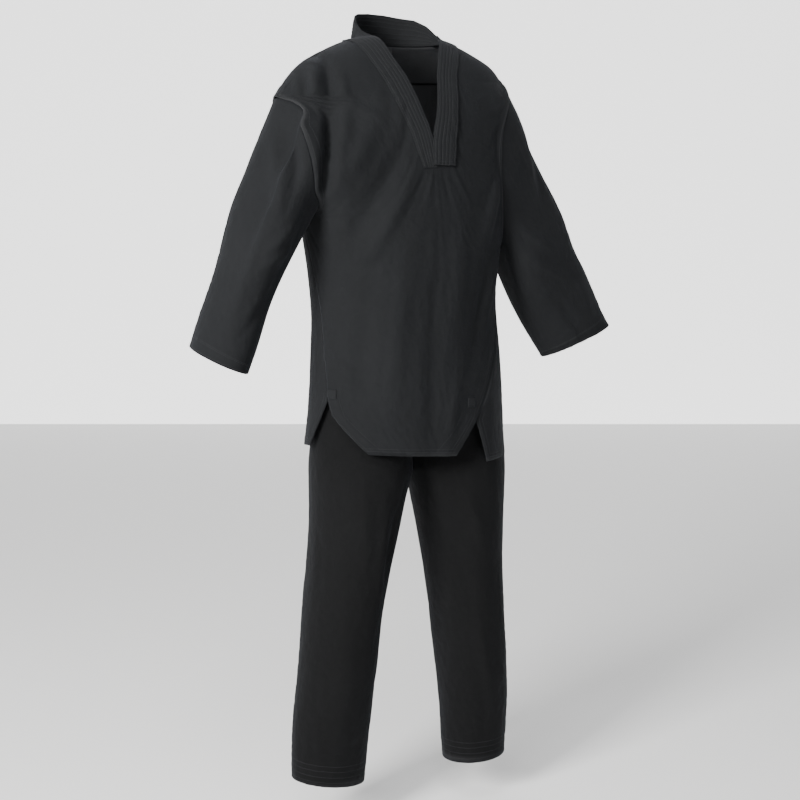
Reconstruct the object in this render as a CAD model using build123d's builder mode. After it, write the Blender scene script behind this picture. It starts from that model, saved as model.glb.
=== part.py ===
from build123d import *
import math
import os

os.makedirs("parts", exist_ok=True)

# Martial arts uniform: pullover jacket over trousers, as worn. Millimetres, front faces -Y, +X is the wearer's left.
cloth = 1.2            # cotton drill
seam_gap = 0.4         # clearance between neighbouring panels
layer = 1.1            # facings and linings
waist_top = 0.0
hem_front_z = -334.0
hem_back_z = -350.0
neck_z = 405.0
collar_height = 48.0
v_tip_z = 222.0
lapel_width = 38.0
lapel_end_z = 178.0
leg_hem_z = -930.0
thigh_cut_z = -462.0
crotch_z = -392.0

# height, half width, half depth, centre in Y, share of an offset that goes upward
torso_rings = [
    (-352, 194, 132, -2, 0),
    (-222, 186, 128, -4, 0),
    (-80, 176, 122, -5, 0),
    (60, 190, 128, -3, 0),
    (175, 222, 124, 0, 0),
    (286, 247, 106, 4, 0.3),
    (330, 224, 96, 9, 0.6),
    (366, 192, 86, 14, 0.8),
    (392, 137, 76, 20, 0.9),
    (406, 90, 68, 24, 0.9),
    (424, 78, 60, 26, 0.0),
]

# each sleeve: side, centre of its top and of its cuff, radii there
sleeves = {
    "right": dict(side=-1, top=(-190, 2, 258), cuff=(-360, -20, -143), wide=(60, 57, 53), deep=(74, 75, 66)),
    "left": dict(side=1, top=(172, 2, 252), cuff=(360, -20, -158), wide=(72, 78, 72), deep=(64, 58, 46)),
}
armhole_low = {-1: (198, 89), 1: (187, 33)}
armhole_high = (248, 292)
crown_share = 0.47     # how far down the sleeve the soft crown reaches

# height, half width, half depth
hip_rings = [(0, 138, 101), (-40, 142, 104), (-150, 162, 112), (-250, 175, 115), (-345, 181, 114), (-392, 176, 100)]
# height, centre in X, centre in Y, half width, half depth
leg_rings = [
    (-330, 93, 0, 86, 90),
    (-403, 97, 0, 85, 101),
    (-470, 105, 0, 76, 100),
    (-550, 117, -2, 71, 92),
    (-640, 130, -4, 67, 86),
    (-725, 139, -4, 66, 84),
    (-805, 145, -2, 64, 82),
    (-930, 152, 0, 57, 82),
]


def sleeve_planes(s):
    top = Vector(*s["top"])
    cuff = Vector(*s["cuff"])
    along = (cuff - top).normalized()
    across = Vector(0, 1, 0).cross(along).normalized()
    length = (cuff - top).length
    marks = [0.0, 0.5, 1.0]
    return [Plane(origin=top + along * (length * m), x_dir=across, z_dir=along) for m in marks]


def sleeve_solid(s, grow, longer=0.0):
    with BuildPart() as tube:
        for i, plane in enumerate(sleeve_planes(s)):
            with BuildSketch(plane.offset(longer if i == 2 else 0.0)):
                Ellipse(s["wide"][i] + grow, s["deep"][i] + grow)
        loft()
    return tube


def torso_solid(grow):
    with BuildPart() as solid:
        for z, a, b, yc, lift in torso_rings:
            with BuildSketch(Plane.XY.offset(z + lift * grow)):
                with Locations((0, yc)):
                    Ellipse(a + grow, b + grow)
        loft(ruled=True)
    return solid


def jacket_form(grow, longer=0.0):
    with BuildPart() as form:
        add(torso_solid(grow).part)
        for s in sleeves.values():
            add(sleeve_solid(s, grow, longer).part)
    return form


def jacket_skin(low, high):
    with BuildPart() as skin:
        add(outer_forms[high].part)
        add(inner_forms[low].part, mode=Mode.SUBTRACT)
        with Locations((0, 0, neck_z)):
            Box(500, 500, 100, align=(Align.CENTER, Align.CENTER, Align.MIN), mode=Mode.SUBTRACT)
        with Locations((0, 0, hem_back_z)):
            Box(460, 500, 100, align=(Align.CENTER, Align.CENTER, Align.MAX), mode=Mode.SUBTRACT)
    return skin


# offsets of the worn shape: lining, cloth, appliqué
outer_forms = {v: jacket_form(v) for v in (-0.4, cloth, 3.2)}
inner_forms = {v: jacket_form(v, longer=4.0) for v in (-0.4 - layer, 0.0, cloth + 0.4)}
skins = {
    "lining": jacket_skin(-0.4 - layer, -0.4),
    "cloth": jacket_skin(0.0, cloth),
    "cover": jacket_skin(cloth + 0.4, 3.2),
}


def prism(points, y_from, y_to):
    # a region drawn in the XZ plane and carried from y_from to y_to
    with BuildPart() as block:
        with BuildSketch(Plane.XZ.offset(-y_to)):
            with BuildLine():
                Polyline(*[(x, z) for x, z in points], close=True)
            make_face()
        extrude(amount=y_to - y_from)
    return block


def armhole_block(side, shift):
    # everything outside the armhole seam on one side
    x0 = armhole_low[side][0] + shift
    z0 = armhole_low[side][1]
    x1 = armhole_high[0] + shift
    slope = (x1 - x0) / (armhole_high[1] - z0)
    z_top = 480.0
    high = (x0 + slope * (z_top - z0), z_top)
    points = [(x0, z0), (190 + shift, -60), (203 + shift, -420), (700, -420), (700, z_top), high]
    if side < 0:
        points = [(-x, z) for x, z in points]
    return prism(points, -300, 300)


# where the front panel lies, drawn from the front; both vents are cut between it and the back panel
right_apex = (-180, -236)
left_apex = (86, -272)
front_right_corner = (-124, hem_front_z)
front_left_corner = (40, hem_front_z)
seam_y = -4.0


def front_region(shrink):
    points = [
        (-400, 460),
        (400, 460),
        (400, 20),
        (188 - shrink, 20),
        (150 - shrink, -100),
        (left_apex[0] - shrink, left_apex[1]),
        (front_left_corner[0] - shrink, hem_front_z),
        (front_right_corner[0] + shrink, hem_front_z),
        (right_apex[0] + shrink, right_apex[1]),
        (-184 + shrink, -100),
        (-200 + shrink, 60),
        (-400, 60),
    ]
    return prism(points, -300, seam_y - shrink)


def vent_cuts():
    with BuildPart() as cuts:
        right = [right_apex, (front_right_corner[0], hem_front_z), (-124, -420), (-260, -420), (-260, -236)]
        left = [left_apex, (front_left_corner[0], hem_front_z), (40, -420), (122, -420), (118, hem_back_z)]
        add(prism(right, -300, 6).part)
        add(prism(left, -300, seam_y).part)
        # the front panel ends above the back one
        add(prism([(-190, hem_front_z), (60, hem_front_z), (60, -420), (-190, -420)], -300, -20).part)
    return cuts


v_opening = [(-74, 440), (-70, neck_z), (-40, 318), (-12, 242), (0, v_tip_z), (12, 242), (40, 318), (70, neck_z), (74, 440)]
gusset_size = (60, 66, 84)


def gusset_block(side, extra):
    z = armhole_low[side][1] - 4
    with BuildPart() as block:
        with Locations((side * 190, -3, z)):
            Box(gusset_size[0] + extra, gusset_size[1] + extra, gusset_size[2] + extra)
    return block


with BuildPart() as front_panel:
    add(skins["cloth"].part)
    add(front_region(seam_gap / 2).part, mode=Mode.INTERSECT)
    for side in (-1, 1):
        add(armhole_block(side, -seam_gap / 2).part, mode=Mode.SUBTRACT)
        add(gusset_block(side, seam_gap).part, mode=Mode.SUBTRACT)
    add(prism(v_opening, -300, 0).part, mode=Mode.SUBTRACT)

with BuildPart() as back_panel:
    add(skins["cloth"].part)
    add(front_region(-seam_gap / 2).part, mode=Mode.SUBTRACT)
    add(vent_cuts().part, mode=Mode.SUBTRACT)
    for side in (-1, 1):
        add(armhole_block(side, -seam_gap / 2).part, mode=Mode.SUBTRACT)
        add(gusset_block(side, seam_gap).part, mode=Mode.SUBTRACT)

gussets = {}
for name, s in sleeves.items():
    with BuildPart() as gusset:
        add(skins["cloth"].part)
        add(gusset_block(s["side"], 0).part, mode=Mode.INTERSECT)
        add(armhole_block(s["side"], -seam_gap / 2).part, mode=Mode.SUBTRACT)
    gussets[name] = gusset

# lapels lie on the front panel; the left one covers the lower end of the right one
lapel_path = [(73, neck_z - 1.0), (42, 318), (14, 242), (-4, v_tip_z - 6)]


def lapel_region(side):
    inner = [(side * x, z) for x, z in lapel_path]
    outer = [(side * (x + 27), z - 26) for x, z in lapel_path[1:]]
    start = [(side * 108, neck_z - 1.0)]
    if side > 0:
        foot = [(-8, lapel_end_z), (24, lapel_end_z)]
    else:
        foot = [(2, v_tip_z - 14), (-8, lapel_end_z + 4)]
    return inner + foot + outer[::-1] + start


lapels = {}
for name, s in sleeves.items():
    with BuildPart() as lapel:
        add(skins["cover"].part)
        add(prism(lapel_region(s["side"]), -300, -6).part, mode=Mode.INTERSECT)
        if s["side"] < 0:
            add(prism([(x - 0.4, z) for x, z in lapel_region(1)], -300, 0).part, mode=Mode.SUBTRACT)
            add(prism([(-9, 250), (60, 250), (60, 100), (-9, 100)], -300, 0).part, mode=Mode.SUBTRACT)
    lapels[name] = lapel

# the collar stands on the back half of the neck opening
with BuildPart() as collar_stand:
    for z, a, b, yc in ((neck_z + 0.4, 90, 67, 24), (neck_z + collar_height, 76, 58, 18)):
        with BuildSketch(Plane.XY.offset(z)):
            with Locations((0, yc)):
                Ellipse(a, b)
    loft(ruled=True)
    for z, a, b, yc in ((neck_z - 1, 87.2, 64.2, 24), (neck_z + collar_height + 1, 73.2, 55.2, 18)):
        with BuildSketch(Plane.XY.offset(z)):
            with Locations((0, yc)):
                Ellipse(a, b)
    loft(ruled=True, mode=Mode.SUBTRACT)
    add(prism([(-200, 470), (200, 470), (200, 380), (-200, 380)], -200, 0).part, mode=Mode.SUBTRACT)
    # its top edge rises from the shoulder to the nape
    with BuildSketch(Plane.YZ.offset(-200)):
        with BuildLine():
            Polyline((-5, neck_z + 14), (48, neck_z + collar_height + 2), (48, 500), (-5, 500), close=True)
        make_face()
    extrude(amount=400, mode=Mode.SUBTRACT)

with BuildPart() as yoke_lining:
    add(skins["lining"].part)
    add(prism([(-150, 500), (150, 500), (150, 335), (-150, 335)], seam_y, 300).part, mode=Mode.INTERSECT)
    with Locations((0, 0, neck_z - 1)):
        Box(400, 400, 50, align=(Align.CENTER, Align.CENTER, Align.MIN), mode=Mode.SUBTRACT)

with BuildPart() as hem_facing_front:
    add(skins["lining"].part)
    band = [(-117, hem_front_z + 1), (33, hem_front_z + 1), (41, hem_front_z + 17), (-127, hem_front_z + 17)]
    add(prism(band, -300, -20).part, mode=Mode.INTERSECT)

with BuildPart() as hem_facing_back:
    add(skins["lining"].part)
    with Locations((0, 0, hem_back_z + 1)):
        Box(500, 500, 16, align=(Align.CENTER, Align.CENTER, Align.MIN), mode=Mode.INTERSECT)
    add(prism([(-260, -300), (150, -300), (150, -400), (-260, -400)], -300, 14).part, mode=Mode.SUBTRACT)


def strip(a, b, width):
    # a facing strip beside a vent edge, from a to b
    return [a, b, (b[0] + width, b[1]), (a[0] + width, a[1])]


vent_edges = {
    "vent_facing_right_front": (strip((-178, -244), (-128, -314), 26), -300, -14),
    "vent_facing_right_back": ([(-230, -240), (-100, -240), (-100, -330), (-230, -330)], 8, 30),
    "vent_facing_left_front": (strip((58, -270), (36, -314), -22), -300, -20),
    "vent_facing_left_back": (strip((90, -275), (122, -330), 24), -300, -14),
}
vent_facings = {}
for name, (points, y_from, y_to) in vent_edges.items():
    with BuildPart() as facing:
        add(skins["lining"].part)
        add(prism(points, y_from, y_to).part, mode=Mode.INTERSECT)
        if name.endswith("right_back"):
            with Locations((200, 0, -300)):
                Box(400, 400, 400, mode=Mode.SUBTRACT)
    vent_facings[name] = facing

vent_patches = {}
for name, (x, z) in {"right": (-170, -220), "left": (84, -258)}.items():
    with BuildPart() as patch:
        add(skins["cover"].part)
        add(prism([(x - 9, z - 9), (x + 9, z - 9), (x + 9, z + 9), (x - 9, z + 9)], -300, -14).part, mode=Mode.INTERSECT)
    vent_patches[name] = patch

# inside the back neck: a blank label and the loop that hangs the jacket up
back_inside_y = 24 + 68 - 12.5
with BuildPart() as neck_label:
    with Locations((0, back_inside_y - 2.2, neck_z - 32)):
        Box(44, 0.8, 26)
with BuildPart() as hanging_loop:
    with BuildSketch(Plane.XZ.offset(-(back_inside_y - 5))):
        with Locations((0, neck_z + 4)):
            SlotOverall(46, 16)
            SlotOverall(38, 8, mode=Mode.SUBTRACT)
    extrude(amount=1.2)


def sleeve_part(name, skin, from_share, to_share, beyond_armhole=True):
    s = sleeves[name]
    top = Vector(*s["top"])
    cuff = Vector(*s["cuff"])
    along = (cuff - top).normalized()
    length = (cuff - top).length
    across = Vector(0, 1, 0).cross(along).normalized()
    with BuildPart() as piece:
        add(skin)
        with BuildSketch(Plane(origin=top + along * (length * from_share), x_dir=across, z_dir=along)):
            Rectangle(400, 400)
        extrude(amount=length * (to_share - from_share), mode=Mode.INTERSECT)
        if beyond_armhole:
            add(armhole_block(s["side"], seam_gap / 2).part, mode=Mode.INTERSECT)
    return piece


def sleeve_tube(s, low, high):
    with BuildPart() as tube:
        add(sleeve_solid(s, high).part)
        add(sleeve_solid(s, low, longer=4.0).part, mode=Mode.SUBTRACT)
    return tube


crowns = {}
lower_sleeves = {}
cuffs = {}
for name, s in sleeves.items():
    gap_share = 0.0006
    crowns[name] = sleeve_part(name, skins["cloth"].part, 0.0, crown_share - gap_share)
    lower_sleeves[name] = sleeve_part(name, sleeve_tube(s, 0.0, cloth).part, crown_share, 1.0, False)
    cuffs[name] = sleeve_part(name, sleeve_tube(s, -0.4 - layer, -0.4).part, 0.95, 0.998, False)

# trousers
def leg_solid(side, grow, longer):
    with BuildPart() as leg:
        for z, xc, yc, a, b in leg_rings:
            last = z == leg_rings[-1][0]
            with BuildSketch(Plane.XY.offset(z - (longer if last else 0))):
                with Locations((side * xc, yc)):
                    Ellipse(a + grow, b + grow)
        loft(ruled=True)
    return leg


def hip_solid(grow, crotch_drop, longer):
    with BuildPart() as hip:
        for z, a, b in hip_rings:
            last = z == hip_rings[-1][0]
            first = z == hip_rings[0][0]
            with BuildSketch(Plane.XY.offset(z - (crotch_drop if last else 0) + (longer if first else 0))):
                Ellipse(a + grow, b + grow)
        loft(ruled=True)
    return hip


def trouser_form(grow, crotch_drop, longer=0.0):
    with BuildPart() as form:
        add(hip_solid(grow, crotch_drop, longer).part)
        for side in (-1, 1):
            add(leg_solid(side, grow, longer).part)
    return form


def trouser_skin(low, high, drop):
    with BuildPart() as skin:
        add(trouser_form(high, drop).part)
        add(trouser_form(low, drop - cloth, longer=4.0).part, mode=Mode.SUBTRACT)
    return skin


trouser_cloth = trouser_skin(-cloth, 0.0, 0.0)
band_z = -38.0


def slab(z_from, z_to, x_from=-400, x_to=400, y_from=-300, y_to=300):
    with BuildPart() as block:
        with Locations(((x_from + x_to) / 2, (y_from + y_to) / 2, (z_from + z_to) / 2)):
            Box(x_to - x_from, y_to - y_from, z_to - z_from)
    return block


gusset_half = 30.0
crotch_block = (crotch_z - 14, crotch_z + 60, -gusset_half, gusset_half)

hips = {}
for name, (y_from, y_to) in {"front": (-300, -0.2), "back": (0.2, 300)}.items():
    with BuildPart() as hip:
        add(trouser_cloth.part)
        add(slab(crotch_z - 10, band_z - seam_gap, -400, 400, y_from, y_to).part, mode=Mode.INTERSECT)
        z0, z1, x0, x1 = crotch_block
        add(slab(z0, z1, x0 - seam_gap, x1 + seam_gap).part, mode=Mode.SUBTRACT)
    hips[name] = hip

with BuildPart() as crotch_gusset:
    add(trouser_cloth.part)
    add(slab(crotch_z - 10, crotch_z + 60, -gusset_half, gusset_half).part, mode=Mode.INTERSECT)


def ring(a, b, wide, z_from, z_to):
    with BuildPart() as band:
        with BuildSketch(Plane.XY.offset(z_from)):
            Ellipse(a, b)
            Ellipse(a - wide, b - wide, mode=Mode.SUBTRACT)
        extrude(amount=z_to - z_from)
    return band


with BuildPart() as waistband:
    add(ring(143.0, 105.0, 5.0, band_z, waist_top).part)
    add(ring(141.6, 103.6, 2.2, band_z + 2, waist_top - 2).part, mode=Mode.SUBTRACT)
with BuildPart() as waist_elastic:
    add(ring(141.3, 103.3, 1.6, band_z + 3, waist_top - 3).part)

thighs = {}
legs = {}
leg_hems = {}
leg_facing_skin = trouser_skin(-cloth - 0.4 - layer, -cloth - 0.4, 0.0)
for name, side in {"right": -1, "left": 1}.items():
    x_from = -400 if side < 0 else 0.2
    x_to = -0.2 if side < 0 else 400
    with BuildPart() as thigh:
        add(trouser_cloth.part)
        add(slab(thigh_cut_z, crotch_z - 10 - seam_gap, x_from, x_to).part, mode=Mode.INTERSECT)
    thighs[name] = thigh
    with BuildPart() as leg_tube:
        add(trouser_cloth.part)
        add(slab(leg_hem_z - 1, thigh_cut_z - seam_gap, x_from, x_to).part, mode=Mode.INTERSECT)
    legs[name] = leg_tube
    with BuildPart() as leg_hem:
        add(leg_facing_skin.part)
        add(slab(leg_hem_z + 1, leg_hem_z + 43, x_from, x_to).part, mode=Mode.INTERSECT)
    leg_hems[name] = leg_hem

nodes = {
    "front_panel": front_panel,
    "back_panel": back_panel,
    "collar_stand": collar_stand,
    "yoke_lining": yoke_lining,
    "hem_facing_front": hem_facing_front,
    "hem_facing_back": hem_facing_back,
    "neck_label": neck_label,
    "hanging_loop": hanging_loop,
    "waistband": waistband,
    "waist_elastic": waist_elastic,
    "hip_front": hips["front"],
    "hip_back": hips["back"],
    "crotch_gusset": crotch_gusset,
}
nodes.update(vent_facings)
for name in ("right", "left"):
    nodes["gusset_" + name] = gussets[name]
    nodes["lapel_" + name] = lapels[name]
    nodes["vent_patch_" + name] = vent_patches[name]
    nodes["sleeve_crown_" + name] = crowns[name]
    nodes["sleeve_" + name] = lower_sleeves[name]
    nodes["cuff_facing_" + name] = cuffs[name]
    nodes["thigh_" + name] = thighs[name]
    nodes["leg_" + name] = legs[name]
    nodes["leg_hem_facing_" + name] = leg_hems[name]

for name, node in nodes.items():
    node.part.label = name
    export_step(node.part, "parts/" + name + ".step")
    print(name, len(node.part.solids()), round(node.part.volume / 1000, 1), "cm3")
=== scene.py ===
import math

import bmesh
import bpy
import numpy as np
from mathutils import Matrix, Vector
from mathutils.kdtree import KDTree


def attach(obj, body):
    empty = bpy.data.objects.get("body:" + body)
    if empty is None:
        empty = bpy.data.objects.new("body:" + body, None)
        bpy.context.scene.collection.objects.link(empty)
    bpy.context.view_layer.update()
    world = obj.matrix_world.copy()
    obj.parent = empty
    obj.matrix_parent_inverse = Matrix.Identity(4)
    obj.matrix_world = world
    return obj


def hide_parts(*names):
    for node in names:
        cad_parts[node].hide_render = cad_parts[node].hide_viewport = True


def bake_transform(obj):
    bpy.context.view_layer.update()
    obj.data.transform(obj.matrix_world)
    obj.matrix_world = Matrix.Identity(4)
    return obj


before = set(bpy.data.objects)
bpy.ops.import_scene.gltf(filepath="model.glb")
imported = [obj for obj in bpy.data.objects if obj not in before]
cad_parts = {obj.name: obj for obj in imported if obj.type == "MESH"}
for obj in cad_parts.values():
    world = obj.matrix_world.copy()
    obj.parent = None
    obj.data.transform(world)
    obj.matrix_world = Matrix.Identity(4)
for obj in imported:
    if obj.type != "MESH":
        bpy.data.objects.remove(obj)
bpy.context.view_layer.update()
scene = bpy.context.scene

# camera
cameraSettings = {"azimuth": -27.0, "distance": 2.6, "eye": 0.083, "down": 4.35, "lens": 64.18,
                  "shift": (-0.0038, -0.09)}


def makeCamera(s):
    turn = math.radians(s["azimuth"])
    data = bpy.data.cameras.new("camera")
    camera = bpy.data.objects.new("camera", data)
    scene.collection.objects.link(camera)
    camera.location = (math.sin(turn) * s["distance"], -math.cos(turn) * s["distance"], s["eye"])
    camera.rotation_euler = (math.radians(90 - s["down"]), 0, turn)
    data.sensor_width = 36
    data.lens = s["lens"]
    data.shift_x, data.shift_y = s["shift"]
    data.clip_start = 0.05
    data.clip_end = 60
    scene.camera = camera


makeCamera(cameraSettings)
print("camera placed")


# materials
def addNode(tree, kind, **values):
    node = tree.nodes.new(kind)
    for key, value in values.items():
        node.inputs[key].default_value = value
    return node


def plainMaterial(name):
    material = bpy.data.materials.new(name)
    material.use_nodes = True
    return material, material.node_tree.nodes["Principled BSDF"]


def clothMaterial(name, s):
    material, shader = plainMaterial(name)
    tree = material.node_tree
    links = tree.links
    shader.inputs["Roughness"].default_value = s["roughness"]
    shader.inputs["Specular IOR Level"].default_value = 0.12
    shader.inputs["Sheen Weight"].default_value = s["sheen"]
    shader.inputs["Sheen Roughness"].default_value = 0.45
    shader.inputs["Sheen Tint"].default_value = (0.75, 0.82, 1.0, 1)
    place = addNode(tree, "ShaderNodeTexCoord")
    yarns = addNode(tree, "ShaderNodeMapping", Rotation=(0, 0, math.radians(62)))
    links.new(place.outputs["UV"], yarns.inputs["Vector"])
    twill = addNode(tree, "ShaderNodeTexWave", Scale=s["twill"], Distortion=1.2, Detail=1.0)
    links.new(yarns.outputs["Vector"], twill.inputs["Vector"])
    slub = addNode(tree, "ShaderNodeTexNoise", Scale=900, Detail=2)
    links.new(place.outputs["UV"], slub.inputs["Vector"])
    fade = addNode(tree, "ShaderNodeTexNoise", Scale=7, Detail=4)
    links.new(place.outputs["Object"], fade.inputs["Vector"])
    wear = addNode(tree, "ShaderNodeAttribute")
    wear.attribute_name = "wear"
    # base colour drifts between two dyes, lighter where an edge is worn
    dye = addNode(tree, "ShaderNodeMix")
    dye.data_type = "RGBA"
    dye.inputs["A"].default_value = (*s["dark"], 1)
    dye.inputs["B"].default_value = (*s["light"], 1)
    links.new(fade.outputs["Fac"], dye.inputs["Factor"])
    worn = addNode(tree, "ShaderNodeMix")
    worn.data_type = "RGBA"
    worn.inputs["B"].default_value = (*s["worn"], 1)
    links.new(dye.outputs["Result"], worn.inputs["A"])
    share = addNode(tree, "ShaderNodeMath")
    share.operation = "MULTIPLY"
    links.new(wear.outputs["Fac"], share.inputs[0])
    links.new(slub.outputs["Fac"], share.inputs[1])
    links.new(share.outputs["Value"], worn.inputs["Factor"])
    yarnTone = addNode(tree, "ShaderNodeMix")
    yarnTone.data_type = "RGBA"
    yarnTone.blend_type = "MULTIPLY"
    yarnTone.inputs["Factor"].default_value = 0.35
    links.new(worn.outputs["Result"], yarnTone.inputs["A"])
    links.new(twill.outputs["Color"], yarnTone.inputs["B"])
    links.new(yarnTone.outputs["Result"], shader.inputs["Base Color"])
    weave = addNode(tree, "ShaderNodeBump", Strength=s["bump"], Distance=0.0006)
    links.new(twill.outputs["Fac"], weave.inputs["Height"])
    rumple = addNode(tree, "ShaderNodeTexNoise", Scale=55, Detail=4)
    links.new(place.outputs["Object"], rumple.inputs["Vector"])
    soft = addNode(tree, "ShaderNodeBump", Strength=0.8, Distance=0.0022)
    links.new(rumple.outputs["Fac"], soft.inputs["Height"])
    links.new(weave.outputs["Normal"], soft.inputs["Normal"])
    links.new(soft.outputs["Normal"], shader.inputs["Normal"])
    return material


jacketLook = {"dark": (0.0082, 0.0088, 0.0097), "light": (0.0137, 0.0145, 0.0160), "worn": (0.045, 0.046, 0.048),
              "roughness": 0.86, "sheen": 0.03, "twill": 420, "bump": 0.35}
trouserLook = {"dark": (0.0033, 0.0034, 0.0037), "light": (0.0058, 0.0060, 0.0064), "worn": (0.03, 0.03, 0.032),
               "roughness": 0.88, "sheen": 0.03, "twill": 420, "bump": 0.3}
# the thread is coloured several times lighter than the cloth, a painted highlight for the light the stitches catch
threadHighlightLook = {"dark": (0.026, 0.027, 0.029), "light": (0.040, 0.041, 0.044), "worn": (0.09, 0.09, 0.09),
              "roughness": 0.6, "sheen": 0.05, "twill": 900, "bump": 0.1}
# the inside cloth is painted about three times lighter than the outside drill: painted light for the inside of the back
# and the yoke, which the lamps barely reach
liningPaintedLightLook = {"dark": (0.026, 0.027, 0.029), "light": (0.036, 0.037, 0.040), "worn": (0.07, 0.07, 0.07),
              "roughness": 0.88, "sheen": 0.05, "twill": 420, "bump": 0.3}
elasticLook = {"dark": (0.05, 0.05, 0.052), "light": (0.07, 0.07, 0.073), "worn": (0.1, 0.1, 0.1),
               "roughness": 0.8, "sheen": 0.1, "twill": 260, "bump": 0.5}
looks = {
    "jacket_cloth": clothMaterial("blackDrill", jacketLook),
    "trouser_cloth": clothMaterial("trouserDrill", trouserLook),
    # the lighter inside cloth; its extra lightness is painted light
    "lining": clothMaterial("liningPaintedLight", liningPaintedLightLook),
    # the thread's lighter colour is a painted highlight
    "thread": clothMaterial("blackThreadPaintedHighlight", threadHighlightLook),
    "elastic": clothMaterial("wovenElastic", elasticLook),
}
print("materials made")

# the worn shape of the jacket: height, half width, half depth, centre in Y
rings = np.array([
    (-0.352, 0.196, 0.132, -0.002),
    (-0.287, 0.191, 0.130, -0.003),
    (-0.222, 0.187, 0.128, -0.004),
    (-0.150, 0.183, 0.125, -0.005),
    (-0.080, 0.179, 0.122, -0.005),
    (-0.010, 0.184, 0.124, -0.004),
    (0.060, 0.194, 0.127, -0.003),
    (0.120, 0.206, 0.127, -0.002),
    (0.175, 0.219, 0.124, 0.000),
    (0.232, 0.233, 0.117, 0.002),
    (0.292, 0.246, 0.107, 0.004),
    (0.332, 0.221, 0.097, 0.009),
    (0.363, 0.187, 0.087, 0.014),
    (0.3885, 0.134, 0.077, 0.020),
    (0.4055, 0.088, 0.068, 0.024),
])
armhole = {
    -1: {"low": 0.089, "top": 0.292, "front": 0.095, "back": 0.076, "round": 1.0, "widen": True},
    1: {"low": 0.033, "top": 0.335, "front": 0.086, "back": 0.062, "round": 0.85, "widen": False},
}
ventTop = {-1: -0.236, 1: -0.272}
hemAt = {"front": -0.334, "back": -0.350}


def smoothRows(table, t):
    # a smooth curve through the rows of a table, t from 0 at the first row to 1 at the last
    t = np.asarray(t, float)
    n = len(table) - 1
    x = np.clip(t, 0, 1) * n
    i = np.clip(x.astype(int), 0, n - 1)
    f = (x - i)[..., None]
    p0 = table[np.clip(i - 1, 0, n)]
    p1 = table[i]
    p2 = table[i + 1]
    p3 = table[np.clip(i + 2, 0, n)]
    return 0.5 * (2 * p1 + (p2 - p0) * f + (2 * p0 - 5 * p1 + 4 * p2 - p3) * f**2 + (3 * p1 - p0 - 3 * p2 + p3) * f**3)


tFine = np.linspace(0, 1, 3001)
zFine = np.maximum.accumulate(smoothRows(rings, tFine)[:, 0])


def tOf(z):
    return np.interp(z, zFine, tFine)


def armholeDepth(side, z, where="front"):
    s = armhole[side]
    share = np.clip((z - s["low"]) / (s["top"] - s["low"]), 0, 1)
    return s[where] * (2 * np.sqrt(share * (1 - share))) ** s["round"]


def acrossAt(side, sine, z, where="front"):
    # how far out to one side the torso reaches, for the sine of the angle; let out close to the armhole
    row = smoothRows(rings, tOf(z))
    reach = row[..., 1] * sine
    if where == "back" or armhole[side]["widen"]:
        cosine = np.clip(armholeDepth(side, z, where) / row[..., 2], 0, 0.9)
        edge = np.sqrt(1 - cosine**2)
        share = (z - armhole[side]["low"]) / (armhole[side]["top"] - armhole[side]["low"])
        ease = np.clip(np.minimum((1 - share) / 0.26, share / 0.22), 0, 1)
        ease = ease * ease * (3 - 2 * ease)
        reach = reach + row[..., 1] * (1 - edge) * ease * np.clip(sine / edge, 0, 1.15) ** 7
    if side > 0:  # the left shoulder sits a little nearer the neck
        reach = reach * np.interp(z, [0.12, 0.232, 0.292, 0.332, 0.366], [1, 0.965, 0.937, 0.935, 1])
    return reach


def swingAt(z):
    # the skirt swings to the left
    return np.interp(z, [-0.352, -0.20, 0.05], [0.006, 0.004, 0])


def angleAt(side, x, z):
    # the angle on the front at a distance x from the centre front
    x = np.abs(x - swingAt(z))
    low, high = np.zeros(np.shape(x)), np.ones(np.shape(x))
    for _ in range(22):
        middle = (low + high) / 2
        past = acrossAt(side, middle, z) > x
        high = np.where(past, middle, high)
        low = np.where(past, low, middle)
    return np.arcsin(np.clip((low + high) / 2, 0, 0.9999))


def torso(angle, t):
    # angle runs from the centre front through the wearer's left side; radians
    z, _, deep, yc = np.moveaxis(smoothRows(rings, t), -1, 0)
    sine = np.abs(np.sin(angle))
    out = {(side, w): acrossAt(side, sine, z, w) for side in (-1, 1) for w in ("front", "back")}
    ahead = np.cos(angle) > 0
    right = np.where(ahead, out[-1, "front"], out[-1, "back"])
    left = np.where(ahead, out[1, "front"], out[1, "back"])
    x = np.where(np.sin(angle) < 0, -right, left)
    return np.stack([swingAt(z) + x, yc - deep * np.cos(angle), z], -1)


def sideAngle(side, z, where="front"):
    # where a panel ends at the side: armhole edge, side seam, then the vent's front edge; from the centre front
    t = tOf(z)
    deep = smoothRows(rings, t)[..., 2]
    edge = np.arccos(np.clip(armholeDepth(side, z, where) / deep, 0, 0.9))
    if where == "back":
        edge = math.pi - edge
    if side < 0:
        seam = np.interp(z, [hemAt["front"], -0.262, ventTop[-1], 0.06], np.radians([40, 66, 70, 90]))
    else:
        seam = np.interp(z, [hemAt["front"], ventTop[1], 0.02], np.radians([10, 26, 90]))
    return np.where(z < armhole[side]["low"], seam, edge)


def backAngle(side, z):
    # where the back panel ends
    base = sideAngle(side, z, "back")
    spread = [86, 70] if side < 0 else [33, 26]
    vent = np.interp(z, [hemAt["back"], ventTop[side]], np.radians(spread))
    return np.where(z < ventTop[side], vent, base)


vEdge = {-1: [(0.222, 0.0), (0.2445, 0.003), (0.2924, 0.0205), (0.3335, 0.0365), (0.3635, 0.0535), (0.39, 0.062),
              (0.405, 0.067)],
         1: [(0.222, 0.0), (0.271, 0.0142), (0.338, 0.026), (0.375, 0.038), (0.405, 0.055)]}


def vAngle(side, t):
    # where the front panel meets the V
    z = smoothRows(rings, t)[..., 0]
    x = np.interp(z, [p[0] for p in vEdge[side]], [p[1] for p in vEdge[side]], left=0.0)
    return angleAt(side, side * x + swingAt(z) * (x == 0), z)


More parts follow.
